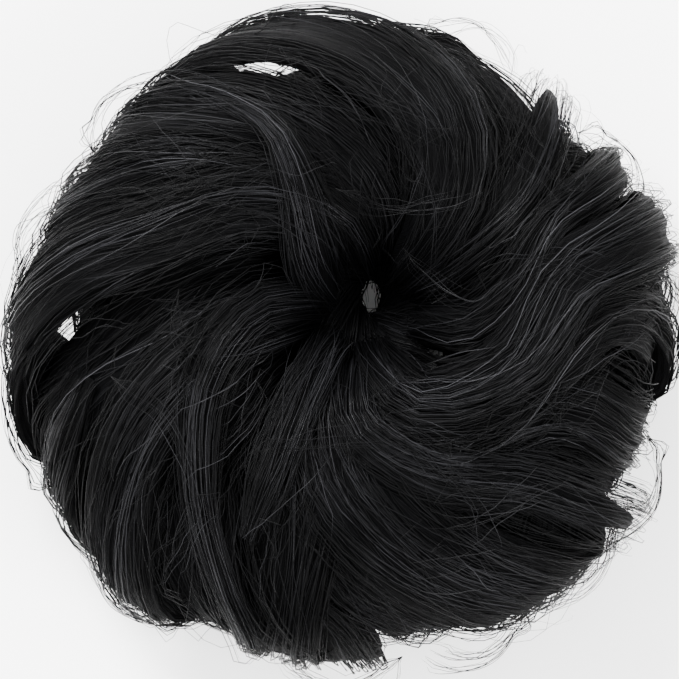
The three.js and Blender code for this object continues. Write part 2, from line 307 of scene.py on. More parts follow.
# Each lock: name, place round the band, layer under the outermost hair, shares of the width,
# the thickness and the reach, its bearings at the six stops, and how far round the rim it goes.
CROWN_LOCKS = [
    ("right_high_lock", 1, 0.5, 0.6, 0.9, 1.03, (-12, -6, 23, 28, 30, 36), 230),
    ("upper_right_lock", 3, 1.3, 0.9, 0.9, 1.02, (22, 30, 40, 60, 86, 102), 262),
    ("tip_lock", 4, 0.6, 0.6, 0.8, 1.06, (28, 32, 38, 47, 50, 50), 196),
    ("arch_lock", 6, 0.3, 0.85, 1.0, 1.01, (38, 47, 64, 92, 120, 138), 255),
    ("upper_lock", 8, 0.9, 0.95, 1.0, 1.01, (72, 88, 114, 134, 145, 155), 262),
    ("left_cross_lock", 9, 0.3, 0.7, 1.0, 1.00, (92, 114, 157, 172, 185, 197), 255),
    ("upper_left_lock", 10, 1.0, 0.8, 1.0, 1.02, (104, 122, 138, 157, 166, 176), 262),
    ("high_left_lock", 12, 2.0, 1.1, 1.0, 1.01, (116, 126, 134, 145, 160, 170), 262),
    ("front_lock", 14, -0.3, 0.55, 1.1, 1.03, (160, 124, 117, 128, 132, 138), 240),
    ("left_lock", 15, 1.9, 1.3, 1.0, 1.00, (160, 176, 196, 208, 216, 226), 262),
    ("upright_lock", 16, 0.1, 0.5, 1.0, 1.00, (172, 182, 224, 246, 252, 256), 225),
    ("lower_left_lock", 18, 0.6, 0.7, 1.0, 1.03, (182, 192, 205, 221, 232, 240), 255),
    ("low_left_lock", 20, 1.6, 1.1, 1.0, 1.02, (200, 208, 218, 235, 248, 254), 262),
    ("centre_lock", 22, 0.2, 0.45, 0.7, 1.01, (224, 236, 242, 243, 243, 243), 108),
    ("lower_lock", 24, 1.1, 0.9, 1.0, 1.02, (236, 246, 253, 256, 257, 262), 262),
    ("bottom_lock", 26, 1.5, 0.9, 1.0, 1.00, (246, 252, 267, 279, 286, 294), 262),
    ("fan_lock", 27, 0.6, 1.1, 1.0, 1.01, (252, 258, 279, 296, 305, 314), 262),
    ("right_lower_lock", 28, 0.3, 0.6, 0.9, 1.06, (260, 268, 309, 319, 321, 322), 205),
    ("right_middle_lock", 30, 1.0, 0.8, 1.0, 1.00, (264, 272, 330, 333, 334, 338), 262),
    ("right_upper_lock", 31, 0.6, 0.75, 1.0, 0.98, (272, 290, 350, 360, 356, 350), 262),
    ("right_cross_lock", 32, 0.0, 0.7, 1.0, 1.03, (280, 308, 366, 374, 376, 380), 250),
]


def smooth(value, low, high):
    """Goes smoothly from 0 at low to 1 at high."""
    share = np.clip((value - low) / (high - low), 0, 1)
    return share * share * (3 - 2 * share)


def section_on(bearing, reach):
    """Middle and half length of the bun's section on a bearing about the hole."""
    along = HOLE_OFF[0] * math.cos(bearing) + HOLE_OFF[1] * math.sin(bearing)
    outer = math.sqrt(BUN_RADIUS ** 2 - HOLE_OFF[0] ** 2 - HOLE_OFF[1] ** 2 + along ** 2) - along
    return (outer * reach + THROAT_RADIUS) / 2, (outer * reach - THROAT_RADIUS) / 2


def shell_point(around_deg, bearing_deg, depth, reach):
    """A point so far round the section: 0 throat, 90 crown, 180 rim, 270 underside."""
    bearing, around = math.radians(bearing_deg), math.radians(around_deg)
    middle, half = section_on(bearing, reach)
    radius = middle - (half - depth) * math.cos(around)
    return np.array((radius * math.cos(bearing), radius * math.sin(bearing),
                     MIDDLE_LEVEL + (HALF_RISE - depth) * math.sin(around)))


def outward(point, reach):
    """Straight out of the bun's surface."""
    bearing = math.atan2(point[1], point[0])
    middle, half = section_on(bearing, reach)
    across = (math.hypot(point[0], point[1]) - middle) / half ** 2
    out = np.array((across * math.cos(bearing), across * math.sin(bearing),
                    (point[2] - MIDDLE_LEVEL) / HALF_RISE ** 2))
    return out / np.linalg.norm(out)


def band_point(bearing_deg, rise):
    """A point straight above or below the band's middle line."""
    bearing = math.radians(bearing_deg)
    return np.array((BAND_RADIUS * math.cos(bearing), BAND_RADIUS * math.sin(bearing),
                     BAND_LEVEL + rise))


def bearing_at(around, bearings):
    """The bearing of a lock so far round the section, smoothly from stop to stop."""
    stops = CROWN_STOPS_DEG
    place = max(i for i in range(len(stops) - 1) if stops[i] <= around or i == 0)
    start, end = stops[place], stops[place + 1]
    before = stops[place - 1] if place > 0 else end
    after = stops[place + 2] if place + 2 < len(stops) else start
    value_before = bearings[place - 1] if place > 0 else bearings[place + 1]
    value_after = bearings[place + 2] if place + 2 < len(stops) else bearings[place]
    weight_before = (end - start) / 2 / (start - before)
    weight_after = (end - start) / 2 / (after - end)
    p = (around - start) / (end - start)
    return (value_before * weight_before * (2 * p ** 2 - p ** 3 - p)
            + bearings[place] * ((1 + weight_before) * p ** 3 - (1.5 + 2 * weight_before) * p ** 2
                                 + (weight_before - 0.5) * p + 1)
            + bearings[place + 1] * ((1.5 + weight_after) * p ** 2
                                     - (1 + weight_after) * p ** 3 + 0.5 * p)
            + value_after * weight_after * (p ** 3 - p ** 2))


def crown_route(root, layer, thick, reach, bearings, end, sinks=0.0):
    """Up through the eye, the funnel, over the crown and the rim, and in underneath. A lock that
    sinks goes down between its neighbours from the crown on."""
    depth = LOCK_THICKNESS * thick / 2 + LAYER_STEP * layer
    points = [band_point(root, -EYE_HALF), band_point(root, EYE_HALF)]
    steps = round((end - CROWN_STOPS_DEG[0]) / ROUTE_STEP_DEG)
    for step in range(steps + 1):
        around = CROWN_STOPS_DEG[0] + (end - CROWN_STOPS_DEG[0]) * step / steps
        tucked = LAYER_STEP * (TUCK_LAYERS * smooth(around, *TUCKS_IN_DEG)
                               + sinks * smooth(around, *SINKS_IN_DEG))
        own_reach = 1 + (reach - 1) * smooth(around, *TAKES_REACH_DEG)
        bearing = bearing_at(min(around, CROWN_STOPS_DEG[-1]), bearings)
        points.append(shell_point(around, bearing, depth + tucked, own_reach))
    return np.array(points)


def smooth_line(points, count=400):
    """Points at equal steps on one smooth curve through the given points."""
    ends = [2 * points[0] - points[1], *points, 2 * points[-1] - points[-2]]
    line = []
    for a, b, c, d in zip(ends, ends[1:], ends[2:], ends[3:]):
        t0, t1, t2 = (max(np.linalg.norm(q - p), 1e-9) ** 0.5 for p, q in ((a, b), (b, c), (c, d)))
        leave = ((b - a) / t0 - (c - a) / (t0 + t1) + (c - b) / t1) * t1
        arrive = ((c - b) / t1 - (d - b) / (t1 + t2) + (d - c) / t2) * t1
        for s in np.linspace(0, 1, 40, endpoint=False):
            line.append(b + leave * s + (3 * (c - b) - 2 * leave - arrive) * s ** 2
                        + (2 * (b - c) + leave + arrive) * s ** 3)
    line = np.array([*line, points[-1]])
    gone = np.concatenate([[0], np.cumsum(np.linalg.norm(np.diff(line, axis=0), axis=1))])
    even = np.linspace(0, gone[-1], count)
    return np.stack([np.interp(even, gone, line[:, k]) for k in range(3)], axis=1)


# Loose hair stands a little wider than the plain solid. Stations are sparse in hair that lies
# low and out of sight. The shares say where on its way a lock turns flat and where it narrows.
LOOSE_WIDTH = 1.16
HIDDEN_BELOW, SHOWN_ABOVE = 0.006, 0.02
HIDDEN_NEED = 0.35
FLATTENS = (0.08, 0.25)
NARROWS_OVER = (0.36, 0.68)


def lock_stations(route, width, thick, reach, spread, stations, narrows=0.0, out_is=None):
    """The lock's line at a number of stations: for each its place, the directions to its side
    and out of the bun, its half width, its half thickness and its share of the way."""
    line = smooth_line(route)
    share = np.linspace(0, 1, len(line))
    shown = smooth(line[:, 2], HIDDEN_BELOW, SHOWN_ABOVE)
    need = np.cumsum(HIDDEN_NEED + (1 - HIDDEN_NEED) * shown)
    shares = np.interp(np.linspace(need[0], need[-1], stations), need, share)
    centre = np.stack([np.interp(shares, share, line[:, k]) for k in range(3)], axis=1)
    ahead = np.gradient(line, axis=0)
    forward = np.stack([np.interp(shares, share, ahead[:, k]) for k in range(3)], axis=1)
    forward /= np.linalg.norm(forward, axis=1, keepdims=True)
    out = np.array([out_is or outward(p, reach) for p in centre])
    out -= forward * np.sum(out * forward, axis=1, keepdims=True)
    out /= np.linalg.norm(out, axis=1, keepdims=True)
    side = np.cross(forward, out)
    opened = smooth(shares, *spread)
    widest = LOCK_WIDTH * width
    half_width = LOOSE_WIDTH * (EYE_WIDTH / 2 + (widest - EYE_WIDTH) / 2 * opened ** 0.8)
    half_width *= 1 - narrows * smooth(shares, *NARROWS_OVER)
    flat = LOCK_THICKNESS * thick / 2 * min(1, 1.3 - narrows)
    half_thick = EYE_HALF + (flat - EYE_HALF) * smooth(shares, *FLATTENS)
    centre = centre + np.array(HOLE_AXIS)
    return centre, side, out, half_width, half_thick, shares


def guide_mesh(name, stations):
    """The lock's line as a row of edges that carries its directions and sizes for the strands."""
    centre, side, out, half_width, half_thick, shares = stations
    mesh = bpy.data.meshes.new(name)
    mesh.from_pydata([tuple(p) for p in centre], [(i, i + 1) for i in range(len(centre) - 1)], [])
    for title, kind, values in (
            ("side", "FLOAT_VECTOR", side), ("out", "FLOAT_VECTOR", out),
            ("half_width", "FLOAT", half_width), ("half_thick", "FLOAT", half_thick),
            ("share", "FLOAT", shares)):
        layer = mesh.attributes.new(title, kind, "POINT")
        layer.data.foreach_set("vector" if kind == "FLOAT_VECTOR" else "value",
                               np.ravel(values).astype(np.float32))
    return mesh


# Wisps and Wisp Size: how the strands gather. Cross: how far wisps change sides on their way.
# Lift: how far single strands stand up. Wander: how they sway. Fill: how far out they lie.
STRAND_SIZES = (
    ("Strands", "NodeSocketInt"), ("Wisps", "NodeSocketInt"), ("Radius", "NodeSocketFloat"),
    ("Fill", "NodeSocketFloat"), ("Wisp Size", "NodeSocketFloat"), ("Cross", "NodeSocketFloat"),
    ("Lift", "NodeSocketFloat"), ("Wisp Wander", "NodeSocketFloat"), ("Wander", "NodeSocketFloat"),
    ("Uneven Ends", "NodeSocketFloat"), ("Painted Sheen", "NodeSocketFloat"), ("Seed", "NodeSocketInt"),
    ("Hair", "NodeSocketMaterial"),
)
BELOW_SHARE = 0.22
RESTS_ABOVE_TABLE = (0.0003, 0.0022)
# Painted shade at a lock's sides: how much darker its outer strands are painted.
PAINTED_EDGE_SHADE = 0.75
STRAND_SIDES = 3


def strand_tree():
    """Strands along a guide line: gathered in wisps that cross a little, each one wandering."""
    tree = bpy.data.node_groups.new("strands along a lock", "GeometryNodeTree")
    tree.interface.new_socket("Geometry", in_out="INPUT", socket_type="NodeSocketGeometry")
    tree.interface.new_socket("Geometry", in_out="OUTPUT", socket_type="NodeSocketGeometry")
    for title, kind in STRAND_SIZES:
        tree.interface.new_socket(title, in_out="INPUT", socket_type=kind)
    entry = node(tree, "NodeGroupInput").socket.node
    size = {s.name: Flow(s) for s in entry.outputs if s.name}

    def guide(title, kind="FLOAT"):
        return node(tree, "GeometryNodeInputNamedAttribute", {"data_type": kind}, {"Name": title})

    def maths(operation, first, second=0.0):
        return node(tree, "ShaderNodeMath", {"operation": operation}, {0: first, 1: second})

    def chance(low, high, who, salt):
        """A random number of its own for each strand or wisp; the salt tells the draws apart."""
        return node(tree, "FunctionNodeRandomValue", {"data_type": "FLOAT"},
                    {"Min": low, "Max": high, "ID": who, "Seed": size["Seed"] * 31 + salt})

    def sway(who, salt, pace):
        """A slow random swing to either side, from -1 to 1, its own for each strand or wisp."""
        place = node(tree, "ShaderNodeCombineXYZ", values={
            "X": guide("share") * pace, "Y": who * 7.31 + salt, "Z": size["Seed"] * 3.17 + salt})
        return (noise(tree, place, 1.0, 1.0) - 0.5) * 4

    def kept_as(title, domain, geometry, value):
        return node(tree, "GeometryNodeStoreNamedAttribute", {
            "data_type": "FLOAT", "domain": domain}, {
            "Geometry": geometry, "Name": title, "Value": value})

    line = node(tree, "GeometryNodeMeshToCurve", values={"Mesh": size["Geometry"]})
    strands = node(tree, "GeometryNodeDuplicateElements", {"domain": "SPLINE"},
                   {"Geometry": line, "Amount": size["Strands"]})
    which = Flow(strands.socket.node.outputs[1])

    # Across the lock: its wisp's lane, then its own place in the wisp. All start in the eye.
    share = guide("share")
    free = share.ease(0.0, 0.16)
    wisp = maths("FLOOR", chance(0.0, 1.0, which, 1) * size["Wisps"])
    lane = (wisp + 0.5) / size["Wisps"] * 2 - 1
    crossing = chance(-1.0, 1.0, wisp, 2) * size["Cross"] * (share * 2 - 1)
    across = lane * 0.86 + crossing + sway(wisp, 5.0, 2.2) * size["Wisp Wander"]
    across = across + chance(-1.0, 1.0, which, 3) * size["Wisp Size"]
    across = across + sway(which, 11.0, 4.0) * size["Wander"]

    # Out of the lock: rounded over its width, some strands on its lower side, some lifted.
    reach_out = node(tree, "ShaderNodeClamp", values={"Value": across, "Min": -1.0, "Max": 1.0})
    rounding = maths("SQRT", 1.02 - reach_out * reach_out)
    height = chance(0.4, 1.25, wisp, 4) + chance(-0.35, 0.15, which, 6)
    below = maths("GREATER_THAN", chance(0.0, 1.0, which, 7), 1 - BELOW_SHARE)
    height = height * (1 - below * 1.7) * rounding * size["Fill"]
    swing = (sway(which, 17.0, 3.0) * size["Wander"]
             + sway(wisp, 23.0, 2.0) * size["Wisp Wander"])
    height = height + swing * 0.8
    height = height + size["Lift"] * chance(0.0, 1.0, which, 8) ** 2 * share.ease(0.1, 0.5)

    gathered = across * (1 - 0.55 * share.ease(0.84, 1.0))
    moved = (guide("side", "FLOAT_VECTOR") * (guide("half_width") * gathered * free)
             + guide("out", "FLOAT_VECTOR") * (guide("half_thick") * height * free))
    laid = node(tree, "GeometryNodeSetPosition", values={"Geometry": strands, "Offset": moved})
    spot = node(tree, "GeometryNodeInputPosition")
    right, up, level = (node(tree, "ShaderNodeSeparateXYZ", values={"Vector": spot}, output=axis)
                        for axis in range(3))
    rests = maths("MAXIMUM", level, chance(*RESTS_ABOVE_TABLE, which, 14))
    placed = node(tree, "GeometryNodeSetPosition", values={"Geometry": laid, "Position": node(
        tree, "ShaderNodeCombineXYZ", values={"X": right, "Y": up, "Z": rests})})

    # Ends, tones with painted shade and sheen, and a thin closed tube for each strand.
    ends = 1 - size["Uneven Ends"] * chance(0.0, 1.0, which, 9) ** 2
    cut = node(tree, "GeometryNodeTrimCurve", {"mode": "FACTOR"}, {"Curve": placed, "End": ends})
    # Painted shade: darker strands at a lock's sides and in its lower wisps, as shade under hair.
    edge_shade = 1 - PAINTED_EDGE_SHADE * lane * lane
    height_shade = 0.35 + 0.65 * chance(0.5, 1.2, wisp, 4)
    strand_tone_and_shade = (chance(0.0, 0.65, which, 10) + chance(0.0, 0.62, wisp, 12)) * edge_shade * height_shade
    # The stored tone holds the strand's random tone with its painted shade and painted sheen.
    toned = kept_as("tone_and_painted_light", "CURVE", cut, strand_tone_and_shade * size["Painted Sheen"])
    marked = kept_as("along", "POINT", toned, share)
    factor = node(tree, "GeometryNodeSplineParameter")
    thin = 1 - 0.6 * factor.ease(0.82, 1.0)
    sized = node(tree, "GeometryNodeSetCurveRadius", values={
        "Curve": marked, "Radius": size["Radius"] * chance(0.4, 1.3, which, 13) * thin})
    profile = node(tree, "GeometryNodeCurvePrimitiveCircle", {"mode": "RADIUS"},
                   {"Resolution": STRAND_SIDES, "Radius": 1.0})
    radius = node(tree, "GeometryNodeInputRadius")
    tubes = node(tree, "GeometryNodeCurveToMesh", values={
        "Curve": sized, "Profile Curve": profile, "Scale": radius, "Fill Caps": True})
    soft = node(tree, "GeometryNodeSetShadeSmooth", values={"Geometry": tubes})
    real = node(tree, "GeometryNodeRealizeInstances", values={"Geometry": soft})
    done = node(tree, "GeometryNodeSetMaterial", values={
        "Geometry": real, "Material": size["Hair"]})
    node(tree, "NodeGroupOutput", values={0: done})
    return tree


strands_along = strand_tree()


def grow_strands(name, guide, sizes):
    """The strands of one lock as a plain mesh. A size that isn't given is 1."""
    holder = bpy.data.objects.new(name, guide)
    bpy.context.scene.collection.objects.link(holder)
    growth = holder.modifiers.new("strands", "NODES")
    growth.node_group = strands_along
    for item in strands_along.interface.items_tree:
        if item.in_out == "INPUT" and item.name != "Geometry":
            growth[item.identifier] = sizes.get(item.name, 1.0)
    bpy.context.view_layer.update()
    seen = holder.evaluated_get(bpy.context.evaluated_depsgraph_get())
    mesh = bpy.data.meshes.new_from_object(seen)
    bpy.data.objects.remove(holder)
    return mesh


CORE_REST = 0.0005
CORE_SIDES = 30
CORE_FULLNESS = 0.86
CORE_CLOSES = 0.84
FREE_CORE_CLOSES = 0.55
RIDGES = ((5, 0.10), (8, 0.08), (13, 0.05))


def joined(name, meshes):
    """Several finished bits of hair as one piece."""
    bits = [bpy.data.objects.new(name, mesh) for mesh in meshes]
    for bit in bits:
        bpy.context.scene.collection.objects.link(bit)
    with bpy.context.temp_override(active_object=bits[0], selected_editable_objects=bits):
        bpy.ops.object.join()
    bits[0].name = name
    bits[0].data.name = name
    return bits[0]


def add_core(name, mesh, stations, seed, sides=CORE_SIDES, closes=CORE_CLOSES):
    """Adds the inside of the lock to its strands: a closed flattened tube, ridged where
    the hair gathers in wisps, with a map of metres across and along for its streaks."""
    centre, side, out, half_width, half_thick, shares = stations
    chance = random.Random(seed)
    ridges = [(count, chance.uniform(0, math.tau), chance.uniform(-3, 3), size)
              for count, size in RIDGES]
    taper = 1 - 0.9 * smooth(shares, closes, 1)
    inside = bpy.data.meshes.new("inside")
    gone = np.concatenate([[0], np.cumsum(np.linalg.norm(np.diff(centre, axis=0), axis=1))])
    points, faces, chart = [], [], []
    for at in range(len(centre)):
        for corner in range(sides):
            turn = math.tau * corner / sides
            swell = CORE_FULLNESS * taper[at] * (1 + sum(
                size * math.sin(count * turn + start + drift * shares[at] * 4)
                for count, start, drift, size in ridges))
            points.append(centre[at] + side[at] * half_width[at] * swell * 0.9 * math.cos(turn)
                          + out[at] * half_thick[at] * swell * math.sin(turn))
    for at in range(len(centre) - 1):
        for corner in range(sides):
            a, b = at * sides + corner, at * sides + (corner + 1) % sides
            faces.append((a, a + sides, b + sides, b))
            for row, column in ((at, corner), (at + 1, corner),
                                (at + 1, corner + 1), (at, corner + 1)):
                girth = 4.4 * float(half_width[row])
                chart += [girth * column / sides + seed * 0.1, float(gone[row])]
    for ring in (range(sides), reversed(range((len(centre) - 1) * sides, len(centre) * sides))):
        faces.append(tuple(ring))
        chart += [0.0, 0.0] * sides
    inside.from_pydata([(x, y, max(z, CORE_REST)) for x, y, z in points], [], faces)
    inside.polygons.foreach_set("use_smooth", [True] * len(faces))
    inside.uv_layers.new(name="fibres").data.foreach_set("uv", chart)
    for title, values in (("tone_and_painted_light", np.full(len(points), 0.3)), ("along", np.repeat(shares, sides))):
        layer = inside.attributes.new(title, "FLOAT", "POINT")
        layer.data.foreach_set("value", values.astype(np.float32))
    inside.materials.append(packed_hair)
    return joined(name, [mesh, inside])


def dress_lock(solid, stations, sizes, closes=CORE_CLOSES):
    """One finished lock: its strands and its inside, in place of its plain solid."""
    name = solid + "_hair"
    mesh = grow_strands(name, guide_mesh(name, stations), sizes)
    lock = add_core(name, mesh, stations, sizes["Seed"], closes=closes)
    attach(lock, "root")
    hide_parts(solid)


# Locks that end free on the outside, then how much a lock narrows as its hair joins its
# neighbours, how many layers it sinks between them, and how much brighter or darker it is
# painted than the rest, as a painted sheen.
FREE_ENDS = {"tip_lock", "centre_lock", "right_lower_lock"}
NARROWS = {"front_lock": 0.75, "upright_lock": 0.5, "right_high_lock": 0.25,
           "left_cross_lock": -0.2, "left_lock": -0.4, "lower_lock": 0.35, "bottom_lock": -0.25}
SINKS = {"front_lock": 1.5, "upright_lock": 0.5}
PAINTED_SHEENS = {"front_lock": 1.5, "upright_lock": 1.4, "centre_lock": 1.5, "right_middle_lock": 1.25,
          "left_cross_lock": 1.35, "bottom_lock": 1.35, "lower_lock": 1.2, "right_lower_lock": 1.3,
          "left_lock": 0.75, "high_left_lock": 0.9, "low_left_lock": 0.85}

CROWN_STATIONS = 28
CROWN_SPREADS = (0.04, 0.40)

crown_lines = []
for number, (name, slot, layer, width, thick, reach, bearings, end) in enumerate(CROWN_LOCKS):
    route = crown_route(FIRST_ROOT_DEG + ROOT_STEP_DEG * slot, layer, thick, reach, bearings, end,
                        SINKS.get(name, 0.0))
    stations = lock_stations(route, width, thick, reach, CROWN_SPREADS, CROWN_STATIONS,
                             NARROWS.get(name, 0.0))
    crown_lines.append(stations)
    free_end = name in FREE_ENDS
    dress_lock(name, stations, {
        "Strands": round(88 + 88 * width), "Wisps": round(7 + 9 * width),
        "Radius": 0.0001 + 0.00002 * min(width, 1.0), "Fill": 1.0,
        "Painted Sheen": PAINTED_SHEENS.get(name, 1.0), "Wisp Size": 0.2, "Cross": 0.6, "Lift": 0.5,
        "Wisp Wander": 0.3, "Wander": 0.16, "Uneven Ends": 0.45 if free_end else 0.08,
        "Seed": 11 + number, "Hair": strand_hair}, FREE_CORE_CLOSES if free_end else CORE_CLOSES)


# ---- Rim loops --------------------------------------------------------------------------------
# Shorter loops of the same hair that leave the band underneath, turn up round the rim and lie
# under the crown's locks. They carry the bun and fill its edge.

RIM_STATIONS = 18
RIM_SPREADS = (0.1, 0.42)
RIM_CORE_CLOSES = 0.66
RIM_STOPS_DEG = {"leaves": 268, "under": 225, "rim": 190, "shoulder": 158}
RIM_LOOP_DROP = 0.6

# Each loop: name, place round the band, layer, shares of width, thickness and reach, then its
# bearings at the crown, the shoulder, the rim and underneath, and how far back in it ends.
RIM_LOOPS = [
    ("right_rim_loop", 0, 1.3, 0.9, 0.9, 1.03, (-8, 4, 0, -12), 130),
    ("upper_right_rim_loop", 2, 1.3, 0.9, 0.9, 0.97, (56, 42, 36, 26), 126),
    ("top_rim_loop", 7, 1.4, 0.9, 0.9, 1.00, (106, 96, 86, 74), 126),
    ("upper_left_rim_loop", 13, 1.4, 0.9, 0.9, 0.99, (158, 150, 140, 128), 126),
    ("left_rim_loop", 19, 0.9, 0.9, 0.9, 1.03, (170, 180, 190, 202), 128),
    ("lower_left_rim_loop", 21, 1.0, 0.9, 0.9, 1.01, (194, 204, 212, 224), 128),
    ("bottom_rim_loop", 25, 1.4, 0.9, 0.9, 1.00, (252, 262, 266, 262), 126),
    ("lower_right_rim_loop", 33, 1.5, 1.0, 0.9, 0.97, (318, 309, 302, 300), 126),
    ("right_low_rim_loop", 34, 1.6, 1.0, 0.9, 0.96, (346, 338, 332, 326), 126),
]


def rim_route(root, layer, thick, reach, bearings, end):
    """Down through the eye, out underneath, up round the rim and in under the crown."""
    outer = LOCK_THICKNESS * thick / 2
    depth = outer + LAYER_STEP * layer
    crown, shoulder, rim, under = bearings
    return np.array([
        band_point(root, EYE_HALF),
        band_point(root, -RIM_LOOP_DROP * EYE_HALF),
        shell_point(RIM_STOPS_DEG["leaves"], (root + under) / 2, outer, reach),
        shell_point(RIM_STOPS_DEG["under"], under, outer, reach),
        shell_point(RIM_STOPS_DEG["rim"], rim, (outer + depth) / 2, reach),
        shell_point(RIM_STOPS_DEG["shoulder"], shoulder, depth, reach),
        shell_point(end, crown, depth, reach)])


for number, (name, slot, layer, width, thick, reach, bearings, end) in enumerate(RIM_LOOPS):
    route = rim_route(FIRST_ROOT_DEG + ROOT_STEP_DEG * slot, layer, thick, reach, bearings, end)
    stations = lock_stations(route, width, thick, reach, RIM_SPREADS, RIM_STATIONS)
    dress_lock(name, stations, {
        "Strands": 110, "Wisps": 8, "Radius": 0.00014, "Fill": 1.0, "Wisp Size": 0.14,
        "Cross": 0.3, "Lift": 0.5, "Wisp Wander": 0.18, "Wander": 0.07, "Uneven Ends": 0.15,
        "Seed": 61 + number, "Hair": strand_hair}, RIM_CORE_CLOSES)


# ---- Inner locks ------------------------------------------------------------------------------
# Six wide plain locks under the shown ones. They close the bun, so that no light comes through
# between the locks above, and show only as darkness with a few strands.

INNER_LOCKS = 6
INNER_SWIRL_DEG = 12
INNER_END_DEG = 250
INNER_LAYER = 3
INNER_WIDTH, INNER_THICK, INNER_REACH = 1.6, 1.2, 0.99
INNER_SPREADS = (0.04, 0.5)
INNER_STATIONS = 18

for number in range(INNER_LOCKS):
    root = FIRST_ROOT_DEG + ROOT_STEP_DEG * (number * 6 + 5)
    bearing = FIRST_ROOT_DEG + (number + 0.5) * 360 / INNER_LOCKS
    bearings = tuple(bearing + INNER_SWIRL_DEG * stop for stop in range(len(CROWN_STOPS_DEG)))
    route = crown_route(root, INNER_LAYER, INNER_THICK, INNER_REACH, bearings, INNER_END_DEG)
    stations = lock_stations(route, INNER_WIDTH, INNER_THICK, INNER_REACH, INNER_SPREADS,
                             INNER_STATIONS)
    dress_lock(f"inner_lock_{number + 1}", stations, {
        "Strands": 70, "Wisps": 12, "Radius": 0.00015, "Fill": 1.0, "Wisp Size": 0.1,
        "Cross": 0.15, "Lift": 0.1, "Wisp Wander": 0.1, "Wander": 0.05, "Uneven Ends": 0.1,
        "Seed": 91 + number, "Hair": strand_hair})


# ---- Hair in the hole -------------------------------------------------------------------------
# Thin wisps from the roots that lean across the hole as an iris and nearly close it. They are
# loose ends of the locks, fixed at the band only.

# The open spot's place off the hole's axis, and each wisp's way in and out of the hole: how far
# it has turned in degrees, its distance from the axis and its height.
THROAT_WISPS = 14
SPOT = (0.0018, 0.0044)
FACES_UP = (0.0, 0.0, 1.0)
IRIS_WAY = [(0, 0.0190, 0.012), (14, 0.0130, 0.016), (36, 0.0082, 0.021), (66, 0.0062, 0.026),
            (96, 0.0078, 0.030), (122, 0.0125, 0.034), (142, 0.0190, 0.036)]

throat_parts = []
for number in range(THROAT_WISPS):
    chance = random.Random(400 + number)
    start = 360 * number / THROAT_WISPS
    route = []
    for turned, radius, level in IRIS_WAY:
        bearing = math.radians(start + turned + chance.uniform(-4, 4))
        near = max(0.0, 1 - radius / 0.02)
        route.append((radius * math.cos(bearing) * (1 - 0.1 * near) + SPOT[0] * near,
                      radius * math.sin(bearing) * (1 + 0.35 * near) + SPOT[1] * near,
                      level + chance.uniform(-0.001, 0.001)))
    stations = lock_stations(np.array(route), 0.34, 0.2, 1.0, (0.0, 0.25), 16, out_is=FACES_UP)
    wisp = grow_strands("wisp", guide_mesh("wisp", stations), {
        "Strands": 36, "Wisps": 4, "Radius": 0.00012, "Fill": 1.2, "Wisp Size": 0.25, "Cross": 0.3,
        "Lift": 0.5, "Wisp Wander": 0.2, "Wander": 0.12, "Uneven Ends": 0.3, "Seed": 130 + number,
        "Hair": strand_hair})
    throat_parts.append(add_core("wisp", wisp, stations, 130 + number, sides=12))

throat_hair = joined("hair_in_the_hole", [part.data for part in throat_parts])
for part in throat_parts:
    bpy.data.objects.remove(part)
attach(throat_hair, "root")


# ---- Loose hairs ------------------------------------------------------------------------------
# Single fine hairs that have worked free of the locks: some drift across their own lock, some
# lie in long arcs over the crown, and some spring out in loops round the rim.

STRAY_RADIUS = 0.00008
STRAY_SPREADS = (0.0, 0.1)

loose_parts = []
for number, stations in enumerate(crown_lines):
    loose_parts.append(grow_strands("loose", guide_mesh("loose", stations), {
        "Strands": 24, "Wisps": 24, "Radius": STRAY_RADIUS, "Fill": 1.25, "Wisp Size": 0.5,
        "Cross": 1.4, "Lift": 1.2, "Wisp Wander": 0.5, "Wander": 0.25, "Uneven Ends": 0.5,
        "Seed": 200 + number, "Hair": stray_hair}))


def over_crown(x, y, above):
    """A point a little above the bun's rounded top, given as seen from above."""
    bearing = math.atan2(y - HOLE_AXIS.y, x - HOLE_AXIS.x)
    middle, half = section_on(bearing, 1.0)
    radius = math.hypot(x - HOLE_AXIS.x, y - HOLE_AXIS.y)
    across = min(1.0, abs(radius - middle) / half)
    level = MIDDLE_LEVEL + HALF_RISE * math.sqrt(1 - across ** 2) + above
    return np.array((x - HOLE_AXIS.x, y - HOLE_AXIS.y, level))


# Each arc: points across the crown in millimetres from the middle of the outline, and its hairs.
CROWN_ARCS = [
    ([(-8, 57), (3, 53), (14, 48), (25, 42)], 8),
    ([(-1, 33), (8, 29), (19, 29), (31, 33)], 8),
    ([(-20, -25), (-8, -23), (4, -21), (14, -20)], 6),
    ([(-35, 11), (-36, 2), (-30, -8), (-18, -15)], 6),
    ([(-12, 36), (-2, 24), (3, 12), (6, 4)], 8),
    ([(14, 20), (22, 12), (30, 8), (38, 14)], 6),
    ([(-30, 30), (-18, 27), (-8, 22), (0, 16)], 6),
    ([(20, -28), (30, -33), (40, -32), (48, -26)], 6),
    ([(10, 50), (18, 40), (22, 28), (20, 14)], 6),
    ([(-50, -8), (-40, -16), (-34, -28), (-33, -42)], 6),
]
for number, (spots, hairs) in enumerate(CROWN_ARCS):
    route = np.array([over_crown(x / 1000, y / 1000, 0.0012) for x, y in spots])
    stations = lock_stations(route, 0.2, 0.2, 1.0, STRAY_SPREADS, 22, out_is=FACES_UP)
    loose_parts.append(grow_strands("arc", guide_mesh("arc", stations), {
        "Strands": hairs, "Wisps": hairs, "Radius": STRAY_RADIUS, "Fill": 1.0, "Wisp Size": 0.5,
        "Cross": 0.9, "Lift": 0.5, "Wisp Wander": 0.35, "Wander": 0.12, "Uneven Ends": 0.3,
        "Seed": 300 + number, "Hair": stray_hair}))

